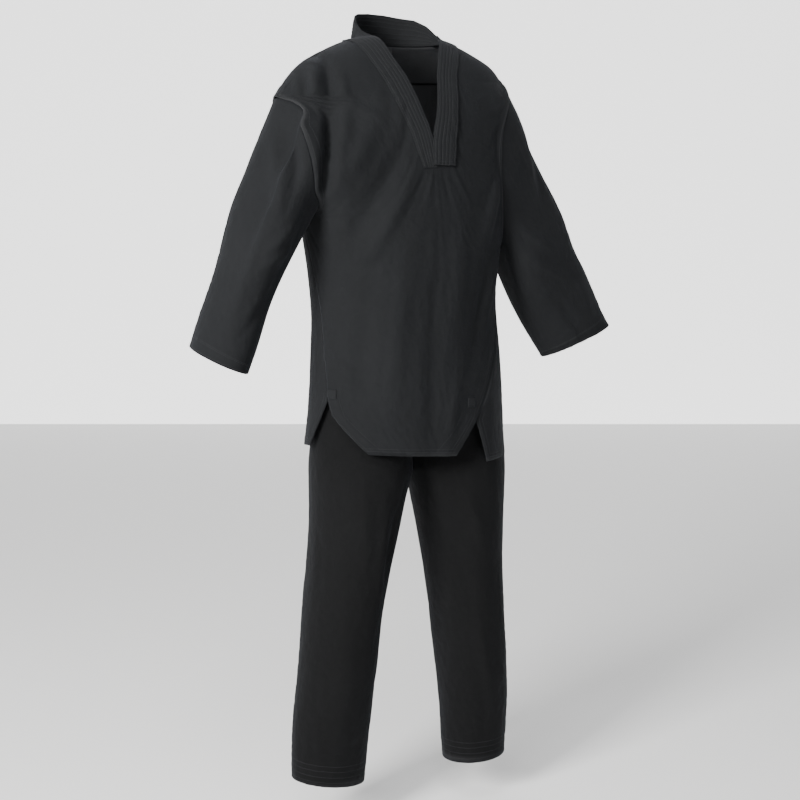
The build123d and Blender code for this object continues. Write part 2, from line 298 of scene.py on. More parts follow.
# folds, drawn as lines over the front or back: ends (x, z), half width, height
frontFolds = [
    ((-0.166, 0.385), (-0.184, 0.205), 0.009, -0.012),
    ((-0.181, 0.266), (-0.199, 0.095), 0.011, -0.026),
    ((-0.186, 0.350), (-0.204, 0.285), 0.009, 0.009),
    ((-0.207, 0.335), (-0.216, 0.275), 0.006, -0.007),
    ((-0.150, 0.330), (-0.158, 0.230), 0.010, 0.005),
    ((-0.160, 0.285), (-0.100, 0.262), 0.008, 0.004),
    ((-0.098, 0.262), (-0.160, 0.150), 0.018, 0.006),
    ((-0.055, 0.215), (-0.148, 0.055), 0.017, -0.008),
    ((-0.040, 0.165), (-0.118, 0.020), 0.014, 0.006),
    ((-0.150, 0.130), (-0.166, 0.000), 0.016, 0.006),
    ((0.002, 0.170), (-0.022, 0.118), 0.005, 0.0018),
    ((-0.008, 0.172), (-0.044, 0.128), 0.005, -0.0018),
    ((0.018, 0.172), (0.024, 0.115), 0.006, -0.0015),
    ((0.036, 0.174), (0.066, 0.118), 0.006, 0.0016),
    ((-0.186, -0.150), (-0.140, -0.176), 0.005, 0.0045),
    ((-0.168, -0.190), (-0.128, -0.208), 0.005, 0.0050),
    ((-0.184, -0.120), (-0.120, -0.150), 0.007, -0.0025),
    ((0.150, 0.170), (0.105, 0.040), 0.014, 0.007),
    ((0.150, 0.240), (0.158, 0.120), 0.010, -0.007),
    ((0.160, 0.030), (0.110, -0.100), 0.015, 0.006),
    ((0.125, 0.030), (0.075, -0.180), 0.013, -0.006),
    ((0.060, 0.110), (0.036, -0.130), 0.020, 0.005),
    ((-0.060, 0.020), (-0.082, -0.260), 0.018, 0.005),
    ((-0.115, 0.000), (-0.132, -0.240), 0.014, -0.005),
    ((0.000, -0.040), (-0.012, -0.325), 0.016, -0.005),
    ((0.050, -0.160), (0.020, -0.330), 0.012, 0.005),
]
backFolds = [
    ((-0.165, 0.350), (-0.190, 0.180), 0.014, -0.009),
    ((0.165, 0.350), (0.190, 0.160), 0.014, -0.009),
    ((-0.120, 0.250), (-0.060, 0.060), 0.020, 0.005),
    ((0.120, 0.240), (0.050, 0.040), 0.020, 0.005),
    ((-0.090, 0.020), (-0.110, -0.300), 0.022, 0.005),
    ((0.020, 0.000), (0.010, -0.320), 0.024, 0.004),
    ((0.110, 0.000), (0.125, -0.320), 0.020, 0.005),
    ((0.065, -0.060), (0.070, -0.330), 0.016, -0.005),
    ((-0.050, -0.080), (-0.055, -0.340), 0.016, -0.005),
    ((-0.080, 0.355), (0.080, 0.350), 0.012, 0.002),
]


def foldHeight(x, z, folds):
    total = np.zeros(np.shape(x))
    for (x0, z0), (x1, z1), wide, high in folds:
        dx, dz = x1 - x0, z1 - z0
        long = dx * dx + dz * dz
        inside = np.clip(((x - x0) * dx + (z - z0) * dz) / long, 0, 1)
        away = np.hypot(x - x0 - inside * dx, z - z0 - inside * dz)
        fade = np.exp(-((away / wide) ** 2)) * (0.25 + 0.75 * np.sin(np.pi * np.clip(inside, 0.04, 0.96)))
        total += high * fade
    return total


def slowNoise(p, size, seed):
    # a few long waves in different directions, about 1 high
    source = np.random.default_rng(seed)
    total = np.zeros(p.shape[:-1])
    for _ in range(9):
        direction = source.normal(size=3) * np.array([1.0, 1.0, 0.6])
        direction /= np.linalg.norm(direction)
        pitch = size * source.uniform(0.6, 1.6)
        total += np.sin(p @ direction * 2 * math.pi / pitch + source.uniform(0, 6.28))
    return total / 3.5


def normalsOf(p, centre):
    across = np.gradient(p, axis=1)
    along = np.gradient(p, axis=0)
    n = np.cross(across, along)
    n /= np.maximum(np.linalg.norm(n, axis=-1, keepdims=True), 1e-12)
    outward = p - centre(p)
    outward[..., 2] = 0
    if (n * outward).sum() < 0:
        n = -n
    return n


def torsoCentre(p):
    c = np.zeros_like(p)
    c[..., 2] = p[..., 2]
    return c


def makePanel(p, centre=torsoCentre, drift=0.0, folds=None, seed=1, calm=None):
    n = normalsOf(p, centre)
    high = drift * slowNoise(p, 0.20, seed)
    if folds is not None:
        high = high + foldHeight(p[..., 0], p[..., 2], folds)
    if calm is not None:
        high = high * calm
    p = p + n * high[..., None]
    return {"points": p, "normals": normalsOf(p, centre), "centre": centre}


def refresh(panel, points):
    panel["points"] = points
    panel["normals"] = normalsOf(points, panel["centre"])


def onPanel(panel, u, v, lift=0.0):
    # the place on a panel at shares u across and v along, lifted off it
    p, n = panel["points"], panel["normals"]
    rows, cols = p.shape[0] - 1, p.shape[1] - 1
    x = np.clip(np.asarray(u, float), 0, 1) * cols
    y = np.clip(np.asarray(v, float), 0, 1) * rows
    i = np.clip(x.astype(int), 0, cols - 1)
    j = np.clip(y.astype(int), 0, rows - 1)
    fx, fy = (x - i)[..., None], (y - j)[..., None]

    def mix(a):
        return (a[j, i] * (1 - fx) + a[j, i + 1] * fx) * (1 - fy) + (a[j + 1, i] * (1 - fx) + a[j + 1, i + 1] * fx) * fy

    normal = mix(n)
    normal /= np.maximum(np.linalg.norm(normal, axis=-1, keepdims=True), 1e-12)
    return mix(p) + normal * np.asarray(lift, float)[..., None], normal


def gridShares(cols, rows):
    return np.meshgrid(np.linspace(0, 1, cols + 1), np.linspace(0, 1, rows + 1))


# jacket panels as grids; the front and back share their rows so their side seams meet
cut = {"cols": 56, "backCols": 112, "rows": 118, "frontHem": hemAt["front"], "backHem": hemAt["back"]}
frontRows = tOf(cut["frontHem"]) + (1 - tOf(cut["frontHem"])) * np.linspace(0, 1, cut["rows"] + 1)
backRows = np.concatenate([np.linspace(tOf(cut["backHem"]), frontRows[0], 4)[:-1], frontRows])


def rowShare(rows, z):
    return np.interp(tOf(z), rows, np.linspace(0, 1, len(rows)))


def armholeLine(side):
    # points along the whole armhole edge
    z = np.linspace(armhole[side]["low"], armhole[side]["top"], 160)
    return np.concatenate([torso(side * sideAngle(side, z, w), tOf(z)) for w in ("front", "back")])


seamTree = KDTree(640)
for i, place in enumerate(np.concatenate([armholeLine(-1), armholeLine(1)])):
    seamTree.insert(place, i)
seamTree.balance()


def fromArmhole(p):
    flat = p.reshape(-1, 3)
    return np.array([seamTree.find(q)[2] for q in flat]).reshape(p.shape[:-1])


def panelCalm(p, v):
    # folds die out at the neck and against the armhole seam
    return np.clip((fromArmhole(p) - 0.003) / 0.012, 0, 1) * np.minimum(1, (1 - v) / 0.05)


def raiseHem(p, high):
    # hitches the hem up without moving the cloth above it
    p[..., 2] += high * np.clip((-0.16 - p[..., 2]) / 0.18, 0, 1) ** 1.5


def liftSeam(panel, p):
    # the panel's edge lies over the sleeve at the dropped seam
    high = 0.0016 * np.clip(1.8 - fromArmhole(p) / 0.007, 0, 1)
    refresh(panel, panel["points"] + panel["normals"] * high[..., None])


def frontHalf(side):
    u, v = gridShares(cut["cols"], cut["rows"])
    t = frontRows[:, None] + 0 * u
    z = smoothRows(rings, t)[..., 0]
    outer = sideAngle(side, z)
    inner = vAngle(side, t)
    p = torso(side * (outer + (inner - outer) * u), t)
    # the facing behind the vent's edge shows as a slightly raised strip
    strip = np.clip((0.17 - (outer - inner) * u) / 0.03, 0, 1) * np.clip((-0.215 - z) / 0.006, 0, 1)
    panel = makePanel(p, drift=0.0026, folds=frontFolds, seed=3, calm=panelCalm(p, v))
    refresh(panel, panel["points"] + panel["normals"] * (0.0011 * strip)[..., None])
    raiseHem(panel["points"], np.interp(p[..., 0], [-0.13, 0.05], [0.013, 0.002]))
    liftSeam(panel, p)
    return panel


def backHalf():
    u, v = gridShares(cut["backCols"], len(backRows) - 1)
    t = backRows[:, None] + 0 * u
    z = smoothRows(rings, t)[..., 0]
    start = backAngle(1, z)
    end = 2 * math.pi - backAngle(-1, z)
    p = torso(start + (end - start) * u, t)
    panel = makePanel(p, drift=0.0030, folds=backFolds, seed=3, calm=panelCalm(p, v))
    turn = np.degrees(start + (end - start) * u)
    raiseHem(panel["points"], np.interp(turn, [190, 262], [0, 0.036]))
    liftSeam(panel, p)
    return panel


panels = {"frontRight": frontHalf(-1), "frontLeft": frontHalf(1), "back": backHalf()}


def joinJacket():
    # closes the centre front below the V, the side seams between underarm and vent, and the shoulders
    z = smoothRows(rings, frontRows)[:, 0]
    right, left, back = (panels[n]["points"] for n in ("frontRight", "frontLeft", "back"))
    low = z < 0.2215
    mean = (right[low, -1] + left[low, -1]) / 2
    right[low, -1], left[low, -1] = mean, mean
    extra = len(backRows) - len(frontRows)
    for side, front, column in ((1, left, 0), (-1, right, -1)):
        apex = ventTop[side]
        gap = np.linalg.norm(front[:, 0] - back[extra:, column], axis=-1)
        seam = (z > apex) & (z < armhole[side]["low"]) | (z > armhole[side]["top"]) & (gap < 0.006)
        rows = np.flatnonzero(seam)
        mean = (front[rows, 0] + back[rows + extra, column]) / 2
        front[rows, 0], back[rows + extra, column] = mean, mean


joinJacket()

# sleeves: cuff centre and radii, how full the middle is
sleeveShape = {
    -1: {"cuff": (-0.362, -0.020, -0.151), "wide": 0.051, "deep": 0.064, "full": (0.007, -0.015), "dip": -0.20, "seed": 21},
    1: {"cuff": (0.363, -0.020, -0.147), "wide": 0.078, "deep": 0.047, "full": (-0.005, 0.010), "dip": 0.14, "seed": 22},
}
sleeveFolds = {
    -1: [((-0.262, 0.275), (-0.276, 0.110), 0.010, 0.008), ((-0.240, 0.230), (-0.252, 0.120), 0.011, -0.007),
         ((-0.245, 0.075), (-0.300, 0.030), 0.008, 0.004), ((-0.250, 0.035), (-0.315, 0.000), 0.008, 0.004),
         ((-0.320, 0.060), (-0.365, -0.080), 0.014, 0.004), ((-0.290, -0.050), (-0.345, -0.110), 0.010, -0.003)],
    1: [((0.250, 0.250), (0.262, 0.110), 0.012, -0.006), ((0.268, 0.235), (0.330, 0.060), 0.014, 0.006),
        ((0.215, 0.060), (0.300, 0.020), 0.009, 0.004), ((0.225, 0.010), (0.320, -0.030), 0.010, 0.004),
        ((0.330, 0.000), (0.385, -0.130), 0.015, 0.004), ((0.290, -0.060), (0.345, -0.130), 0.012, -0.003)],
}


def sleevePanel(side):
    s = sleeveShape[side]
    u, v = gridShares(88, 72)
    turn = 2 * math.pi * u
    top, low = armhole[side]["top"], armhole[side]["low"]
    z = low + (top - low) * (1 + np.cos(turn)) / 2
    t = tOf(z)
    front = side * sideAngle(side, z)
    back = side * sideAngle(side, z, "back")
    start = np.where((np.sin(turn) > 0)[..., None], torso(front, t), torso(back, t))
    cuff = np.array(s["cuff"])
    middle = start[0].mean(0)
    outer = np.array([side * math.cos(math.radians(22)), 0, math.sin(math.radians(22))])
    forward = np.array([0, -1, s["dip"]])
    end = cuff + s["wide"] * np.cos(turn)[..., None] * outer + s["deep"] * np.sin(turn)[..., None] * forward
    bow = np.sin(np.pi * v) * np.where(np.cos(turn) > 0, s["full"][0] * np.cos(turn), -s["full"][1] * np.cos(turn))
    radial = np.cos(turn)[..., None] * outer + np.sin(turn)[..., None] * np.array([0, -1.0, 0])
    p = start + (end - start) * v[..., None] + radial * bow[..., None]

    def centre(q):
        share = np.linspace(0, 1, q.shape[0])[:, None, None]
        c = np.broadcast_to(middle + (cuff - middle) * share, q.shape).copy()
        c[..., 2] = q[..., 2]
        return c

    calm = np.minimum(1, v / 0.10)
    front = np.clip(np.sin(turn) * 2, 0, 1)
    panel = makePanel(p, centre=centre)
    n = panel["normals"]
    high = (0.0030 * slowNoise(p, 0.16, s["seed"]) + front * foldHeight(p[..., 0], p[..., 2], sleeveFolds[side])) * calm
    refresh(panel, p + n * high[..., None])
    panel["points"][:, -1] = panel["points"][:, 0]
    return panel


panels["rightSleeve"] = sleevePanel(-1)
panels["leftSleeve"] = sleevePanel(1)

# trousers: hip sections, then leg sections
hipRings = np.array([(0.0, 0.138, 0.101), (-0.04, 0.142, 0.104), (-0.15, 0.162, 0.112), (-0.25, 0.175, 0.115),
                     (-0.33, 0.181, 0.115), (-0.40, 0.184, 0.112)])
legRings = np.array([
    (-0.260, 0.090, 0.000, 0.0895, 0.100),
    (-0.369, 0.0935, 0.000, 0.0925, 0.104),
    (-0.410, 0.100, 0.000, 0.084, 0.103),
    (-0.470, 0.107, 0.000, 0.0765, 0.100),
    (-0.550, 0.117, -0.002, 0.0715, 0.092),
    (-0.640, 0.130, -0.004, 0.068, 0.084),
    (-0.725, 0.139, -0.004, 0.0675, 0.078),
    (-0.805, 0.146, -0.002, 0.0665, 0.070),
    (-0.870, 0.150, 0.000, 0.0640, 0.062),
    (-0.930, 0.153, 0.000, 0.0615, 0.055),
])
legLength = 0.930
legLift = {-1: 0.003, 1: -0.001}
legSlope = {-1: 0.009, 1: 0.004}
legWiden = {-1: (0, 0.001, 0.006), 1: (0, -0.002, -0.002)}
legFolds = {
    -1: [((-0.085, -0.400), (-0.092, -0.620), 0.010, 0.006), ((-0.060, -0.420), (-0.075, -0.560), 0.010, -0.006),
         ((-0.130, -0.400), (-0.110, -0.540), 0.016, 0.004), ((-0.150, -0.620), (-0.155, -0.880), 0.018, 0.004),
         ((-0.120, -0.560), (-0.100, -0.700), 0.014, 0.003)],
    1: [((0.075, -0.400), (0.125, -0.520), 0.014, 0.006), ((0.060, -0.470), (0.110, -0.660), 0.012, -0.004),
        ((0.110, -0.640), (0.155, -0.820), 0.013, 0.006), ((0.150, -0.745), (0.185, -0.765), 0.008, 0.004),
        ((0.170, -0.560), (0.180, -0.740), 0.016, 0.004), ((0.130, -0.780), (0.140, -0.900), 0.012, -0.004)],
}


def legPanel(side):
    u, v = gridShares(96, 128)
    z = (legLift[side] - legLength) * v
    hip = np.stack([np.interp(-z, -hipRings[:, 0], hipRings[:, k]) for k in (1, 2)], -1)
    leg = np.stack([np.interp(-z, -legRings[:, 0], legRings[:, k]) for k in (1, 2, 3, 4)], -1)
    leg[..., 2] += np.interp(-z, [0.45, 0.64, 0.93], legWiden[side])
    share = np.clip((-0.258 - z) / 0.111, 0, 1)
    w = (share * share * (3 - 2 * share))[..., None]
    wrap = np.stack([side * hip[..., 0] * np.sin(np.pi * u), -hip[..., 1] * np.cos(np.pi * u), z], -1)
    turn = 2 * np.pi * u
    tube = np.stack([side * (leg[..., 0] - leg[..., 2] * np.cos(turn)), leg[..., 1] - leg[..., 3] * np.sin(turn), z], -1)
    p = wrap * (1 - w) + tube * w
    # the hips and thighs stand a little to the wearer's left
    if side > 0:
        p[..., 0] += np.interp(-z, [0, 0.06, 0.22, 0.46, 0.66], [0, 0, 0.009, 0.008, 0]) * np.clip(p[..., 0] / 0.06, 0, 1)
    p[..., 0] += np.interp(-z, [0.20, 0.37, 0.47, 0.62], [0, 0.006, 0.005, 0])
    p[..., 2] -= legSlope[side] * np.cos(turn) * v**6

    def centre(q):
        c = np.zeros_like(q)
        c[..., 0] = side * 0.12
        c[..., 2] = q[..., 2]
        return c

    panel = makePanel(p, centre=centre)
    front = np.clip(np.sin(turn) * 2, 0, 1)
    edge = np.where(z > -0.40, np.minimum(1, np.minimum(u, 1 - u) / 0.05), 1) * np.minimum(1, v / 0.08)
    high = (0.0022 * slowNoise(p, 0.22, 31 + side) + front * foldHeight(p[..., 0], p[..., 2], legFolds[side])) * edge
    refresh(panel, p + panel["normals"] * high[..., None])
    closed = z[:, 0] < -0.3691
    panel["points"][closed, -1] = panel["points"][closed, 0]
    return panel


panels["rightLeg"] = legPanel(-1)
panels["leftLeg"] = legPanel(1)
print("panels drafted")


# turning grids into pieces
def gridMesh(name, points):
    rows, cols = points.shape[0] - 1, points.shape[1] - 1
    bm = bmesh.new()
    bmesh.ops.create_grid(bm, x_segments=cols, y_segments=rows, size=0.5)
    layer = bm.loops.layers.uv.new("UVMap")
    for v in bm.verts:
        v.index = round((v.co.y + 0.5) * rows) * (cols + 1) + round((v.co.x + 0.5) * cols)
    across = np.linalg.norm(np.diff(points, axis=1), axis=2).sum(1).mean()
    along = np.linalg.norm(np.diff(points, axis=0), axis=2).sum(0).mean()
    for face in bm.faces:
        for loop in face.loops:
            loop[layer].uv = ((loop.vert.co.x + 0.5) * across, (loop.vert.co.y + 0.5) * along)
    flat = points.reshape(-1, 3)
    for v in bm.verts:
        v.co = flat[v.index]
    bmesh.ops.remove_doubles(bm, verts=bm.verts, dist=1e-6)
    mesh = bpy.data.meshes.new(name)
    bm.to_mesh(mesh)
    bm.free()
    return mesh


def facingOut(mesh, normals, points):
    # flips the faces if most of them look inward
    tree = KDTree(len(points))
    for i, c in enumerate(points):
        tree.insert(c, i)
    tree.balance()
    total = 0.0
    for face in list(mesh.polygons)[:: max(1, len(mesh.polygons) // 300)]:
        total += face.normal.dot(Vector(normals[tree.find(face.center)[1]]))
    if total < 0:
        mesh.flip_normals()


def addPiece(name, meshes, look, slotName, thick, node, body=None, bend=None, wear=None, offset=-1.0, inside=None):
    bm = bmesh.new()
    for mesh in meshes:
        bm.from_mesh(mesh)
        bpy.data.meshes.remove(mesh)
    bmesh.ops.remove_doubles(bm, verts=bm.verts, dist=2e-5)
    mesh = bpy.data.meshes.new(name)
    bm.to_mesh(mesh)
    bm.free()
    piece = bpy.data.objects.new(name, mesh)
    scene.collection.objects.link(piece)
    mesh.materials.append(looks[look])
    for face in mesh.polygons:
        face.use_smooth = True
    attribute = mesh.attributes.new("wear", "FLOAT", "POINT")
    edges = np.zeros(len(mesh.vertices))
    if wear is not None:
        co = np.array([v.co for v in mesh.vertices])
        edges = wear(co)
    attribute.data.foreach_set("value", edges.astype(np.float32))
    if thick:
        solid = piece.modifiers.new("thickness", "SOLIDIFY")
        solid.thickness = thick
        solid.offset = offset
        solid.use_even_offset = False
        if inside:
            mesh.materials.append(looks[inside])
            solid.material_offset = 1
    if bend:
        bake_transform(piece)
    else:
        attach(piece, body)
    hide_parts(*([node] if isinstance(node, str) else node))
    return piece


def panelPiece(name, names, look, slotName, thick, node, **rest):
    meshes = []
    for n in names:
        p = panels[n]["points"]
        mesh = gridMesh(name, p)
        facingOut(mesh, panels[n]["normals"].reshape(-1, 3), p.reshape(-1, 3))
        meshes.append(mesh)
    return addPiece(name, meshes, look, slotName, thick, node, **rest)


# letting the cloth settle
def settle(names, s, hold):
    # the named grids are sewn together where they touch, relaxed as cloth, and read back
    bm = bmesh.new()
    for n in names:
        mesh = gridMesh("draft", panels[n]["points"])
        bm.from_mesh(mesh)
        bpy.data.meshes.remove(mesh)
    bmesh.ops.remove_doubles(bm, verts=bm.verts, dist=3e-5)
    mesh = bpy.data.meshes.new("settling")
    bm.to_mesh(mesh)
    bm.free()
    draft = bpy.data.objects.new("settling", mesh)
    scene.collection.objects.link(draft)
    rest = np.array([v.co for v in mesh.vertices])
    tree = KDTree(len(rest))
    for i, c in enumerate(rest):
        tree.insert(c, i)
    tree.balance()
    group = draft.vertex_groups.new(name="held")
    weights = hold(rest)
    for i, w in enumerate(weights):
        group.add([i], float(w), "REPLACE")
    cloth = draft.modifiers.new("cloth", "CLOTH")
    c = cloth.settings
    c.quality = 6
    c.mass = 0.3
    c.tension_stiffness = s["tension"]
    c.compression_stiffness = s["tension"]
    c.shear_stiffness = s["shear"]
    c.bending_stiffness = s["bending"]
    c.tension_damping = 25
    c.compression_damping = 25
    c.shear_damping = 25
    c.bending_damping = 2
    c.air_damping = 4
    c.vertex_group_mass = "held"
    c.pin_stiffness = s["pin"]
    c.shrink_min = -s["ease"]
    c.effector_weights.gravity = s["gravity"]
    cloth.collision_settings.use_collision = False
    cloth.point_cache.frame_start = 1
    cloth.point_cache.frame_end = s["frames"] + 1
    for f in range(1, s["frames"] + 1):
        scene.frame_set(f)
    done = draft.evaluated_get(bpy.context.evaluated_depsgraph_get())
    found = np.zeros(len(rest) * 3)
    done.data.vertices.foreach_get("co", found)
    found = found.reshape(-1, 3)
    moved = found - rest
    size = np.linalg.norm(moved, axis=1)
    print("settled", names, "moved", round(float(size.mean()) * 1000, 1), "mm, most", round(float(size.max()) * 1000, 1))
    far = np.maximum(size / s["most"], 1)
    moved /= far[:, None]
    for n in names:
        p = panels[n]["points"]
        flat = p.reshape(-1, 3)
        index = [tree.find(q)[1] for q in flat]
        refresh(panels[n], (flat + moved[index]).reshape(p.shape))
    bpy.data.objects.remove(draft)
    bpy.data.meshes.remove(mesh)
    scene.frame_set(1)


jacketEase = {"tension": 12, "shear": 4, "bending": 1.0, "pin": 1.0, "ease": 0.006,
              "gravity": 0.3, "frames": 26, "most": 0.014}
sleeveEase = {"tension": 10, "shear": 3, "bending": 0.4, "pin": 1.0, "ease": 0.010,
              "gravity": 0.2, "frames": 26, "most": 0.014}
legEase = {"tension": 10, "shear": 3, "bending": 0.5, "pin": 1.0, "ease": 0.006,
           "gravity": 0.15, "frames": 26, "most": 0.014}


def holdJacket(p):
    x, y, z = p.T
    w = np.full(len(p), 0.20)
    w = np.maximum(w, np.clip((z - 0.30) / 0.07, 0, 1))
    for side in (-1, 1):
        own = (np.sign(x) == side) & (z > armhole[side]["low"] - 0.02) & (z < armhole[side]["top"] + 0.02)
        for where in ("front", "back"):
            edge = torso(side * sideAngle(side, z, where), tOf(z))
            away = np.linalg.norm(p - edge, axis=1)
            w = np.where(own, np.maximum(w, np.clip(1.6 - away / 0.012, 0, 1)), w)
    line = np.interp(z, [q[0] for q in vEdge[-1]], [q[1] for q in vEdge[-1]], left=0.0)
    near = (y < 0) & (z > 0.17)
    w = np.where(near, np.maximum(w, np.clip(1.5 - np.abs(np.abs(x) - line) / 0.03, 0, 1)), w)
    return w


def holdSleeve(side):
    panel = panels["rightSleeve" if side < 0 else "leftSleeve"]["points"]
    tree = KDTree(panel.shape[0] * panel.shape[1])
    for i, c in enumerate(panel.reshape(-1, 3)):
        tree.insert(c, i)
    tree.balance()

    def hold(p):
        row = np.array([tree.find(q)[1] // panel.shape[1] for q in p]) / (panel.shape[0] - 1)
        return np.maximum(0.18, np.clip(1.1 - row / 0.20, 0, 1))

    return hold


def holdLeg(p):
    x, z = p[:, 0], p[:, 2]
    w = np.full(len(p), 0.16)
    w = np.maximum(w, np.clip((z + 0.06) / 0.04, 0, 1))
    w = np.where((z > -0.39) & (np.abs(x) < 0.035), 1.0, w)
    return np.where(z > -0.36, np.maximum(w, 0.5), w)


settle(["frontRight", "frontLeft", "back"], jacketEase, holdJacket)
joinJacket()
settle(["rightSleeve"], sleeveEase, holdSleeve(-1))
settle(["leftSleeve"], sleeveEase, holdSleeve(1))
settle(["rightLeg"], legEase, holdLeg)
settle(["leftLeg"], legEase, holdLeg)
print("cloth settled")


def edgeWear(lines):
    # lighter where the cloth folds over: hems and cuffs, given as functions of the points
    def wear(p):
        return np.clip(np.max([line(p) for line in lines], axis=0), 0, 1)

    return wear


thickness = {"cloth": 0.0012, "facing": 0.0008, "band": 0.0022}


def hemWear(z0, reach=0.006):
    return lambda p: np.clip(1 - np.abs(p[:, 2] - z0) / reach, 0, 1)




# lighter along the dropped armhole seam where the edge is rubbed, as wear; the fade to a quarter below z 0.25 towards
# the underarm is painted shade
def seamWearAndShade(p):
    near = np.clip(1.3 - fromArmhole(p) / 0.006, 0, 1)
    return near * np.clip((p[:, 2] - 0.19) / 0.06, 0.25, 1)


# both jacket panels carry hem wear and armhole seam wear, and the seam wear's fade towards the underarm is painted
# shade
frontPanel = panelPiece("frontPanel", ["frontRight", "frontLeft"], "jacket_cloth", "jacket_cloth", thickness["cloth"],
                        "front_panel", body="jacket", wear=edgeWear([hemWear(cut["frontHem"]), seamWearAndShade]))
# the back panel's inside takes the lighter lining cloth, which is painted light inside the jacket
backPanel = panelPiece("backPanel", ["back"], "jacket_cloth", "jacket_cloth", thickness["cloth"],
                       "back_panel", body="jacket", inside="lining", wear=edgeWear([hemWear(cut["backHem"]), seamWearAndShade]))
sleeveBend = {}
for side, word in ((-1, "right"), (1, "left")):
    start = Vector((side * 0.223, 0, 0.19))
    out = Vector((side * 0.971, 0, -0.239))
    sleeveBend[side] = ("jacket", word + "_sleeve", start, start + out * 0.055)
    panelPiece(word + "Sleeve", [word + "Sleeve"], "jacket_cloth", "jacket_cloth", thickness["cloth"],
                                    ["sleeve_crown_" + word, "sleeve_" + word],
                                    bend=sleeveBend[side])
for side, word in ((-1, "right"), (1, "left")):
    panelPiece(word + "Leg", [word + "Leg"], "trouser_cloth", "trouser_cloth", thickness["cloth"],
                                 ["hip_front", "hip_back", "thigh_" + word, "leg_" + word],
                                 bend=("trousers", word + "_leg", Vector((side * 0.1, 0, -0.375)),
                                       Vector((side * 0.1, 0, -0.540))),
                                 wear=edgeWear([hemWear(legLift[side] - legLength)]))
print("main panels made")


# places on the front and back panels, drawn in X and Z
def onFront(x, z, lift=0.0):
    x, z, lift = np.broadcast_arrays(np.asarray(x, float), np.asarray(z, float), np.asarray(lift, float))
    t = tOf(z)
    place = np.zeros(x.shape + (3,))
    normal = np.zeros(x.shape + (3,))
    for side, name in ((-1, "frontRight"), (1, "frontLeft")):
        own = (x < swingAt(z)) if side < 0 else (x >= swingAt(z))
        angle = angleAt(side, x, z)
        outer, inner = sideAngle(side, z), vAngle(side, t)
        u = (angle - outer) / np.minimum(inner - outer, -1e-6)
        v = rowShare(frontRows, z)
        p, n = onPanel(panels[name], u, v, lift)
        place[own], normal[own] = p[own], n[own]
    return place, normal


def onBack(angle, z, lift=0.0):
    # angle from the centre front through the left side, radians
    angle, z, lift = np.broadcast_arrays(np.asarray(angle, float), np.asarray(z, float), np.asarray(lift, float))
    start = backAngle(1, z)
    end = 2 * math.pi - backAngle(-1, z)
    return onPanel(panels["back"], (angle - start) / (end - start), rowShare(backRows, z), lift)


def patchPiece(name, points, normals, look, slotName, thick, node, wear=None, offset=-1.0, **rest):
    mesh = gridMesh(name, points)
    facingOut(mesh, normals.reshape(-1, 3), points.reshape(-1, 3))
    return addPiece(name, [mesh], look, slotName, thick, node, wear=wear, offset=offset, **rest)


def facing(name, points, normals, node, cloth="jacket_cloth", **rest):
    return patchPiece(name, points, normals, cloth, cloth, thickness["facing"], node, **rest)


def between(a, b, u, v):
    # a grid between two drawn lines, v along them and u from a to b
    a, b = np.array(a, float), np.array(b, float)
    ta, tb = (np.concatenate([[0], np.cumsum(np.linalg.norm(np.diff(q, axis=0), axis=1))]) for q in (a, b))
    pa = np.stack([np.interp(v, ta / ta[-1], a[:, k]) for k in range(2)], -1)
    pb = np.stack([np.interp(v, tb / tb[-1], b[:, k]) for k in range(2)], -1)
    return pa * (1 - u[..., None]) + pb * u[..., None]


# collar stand: angle from the centre front through the left side, height there
standHeights = np.array([(53, 0.002), (66, 0.003), (85, 0.008), (100, 0.021), (115, 0.036), (135, 0.048), (180, 0.056),
                         (205, 0.056), (230, 0.052), (250, 0.044), (265, 0.035), (276, 0.025), (288, 0.014),
                         (300, 0.005), (306, 0.002)])


def onStand(angle, share, lift=0.0):
    # share 0 at the neck seam and 1 at the stand's top edge
    high = np.interp(np.degrees(angle), standHeights[:, 0], standHeights[:, 1])
    base = torso(angle, np.ones_like(angle))
    outward = np.stack([np.sin(angle), -np.cos(angle), np.zeros_like(angle)], -1)
    rise = share * high
    p = base + outward * (lift - 0.15 * rise - 0.0005)[..., None] + np.array([0, 0, 1]) * (0.99 * rise - 0.0015)[..., None]
    return p, outward


standRows = (0.12, 0.28, 0.44, 0.60, 0.76, 0.90)
standSteps = 26
u, v = gridShares(150, standSteps)
angle = np.radians(53 + (306 - 53) * u)
groove = sum(np.exp(-(((v - r) / 0.03) ** 2)) for r in standRows)
standPoints, standNormals = onStand(angle, v, -0.0005 * groove)
collarStand = patchPiece("collarStand", standPoints, standNormals, "jacket_cloth", "jacket_cloth", 0.0022, "collar_stand",
                         body="jacket", wear=lambda q: np.full(len(q), 0.12))

# lapels: inner and outer edges from the shoulder down
lapelShape = {
    -1: {"inner": [(-0.067, 0.4045), (-0.0535, 0.3635), (-0.0365, 0.3335), (-0.0205, 0.2924), (-0.003, 0.2445),
                   (0.002, 0.222), (0.005, 0.173)],
         "outer": [(-0.112, 0.3975), (-0.0967, 0.358), (-0.0767, 0.317), (-0.0569, 0.271), (-0.0398, 0.2355),
                   (-0.0297, 0.1985), (-0.0215, 0.172)],
         "lift": 0.0022, "stand": (308, 264), "turn": 0.14},
    1: {"inner": [(0.055, 0.4045), (0.038, 0.375), (0.026, 0.338), (0.0142, 0.271), (0.000, 0.222), (-0.004, 0.177)],
        "outer": [(0.098, 0.3995), (0.080, 0.368), (0.067, 0.338), (0.0553, 0.261), (0.0405, 0.177)],
        "lift": 0.0046, "stand": (50, 96), "turn": 0.12},
}
lapelRows = [0.06, 0.20, 0.36, 0.52, 0.68, 0.92]
lapels = {}
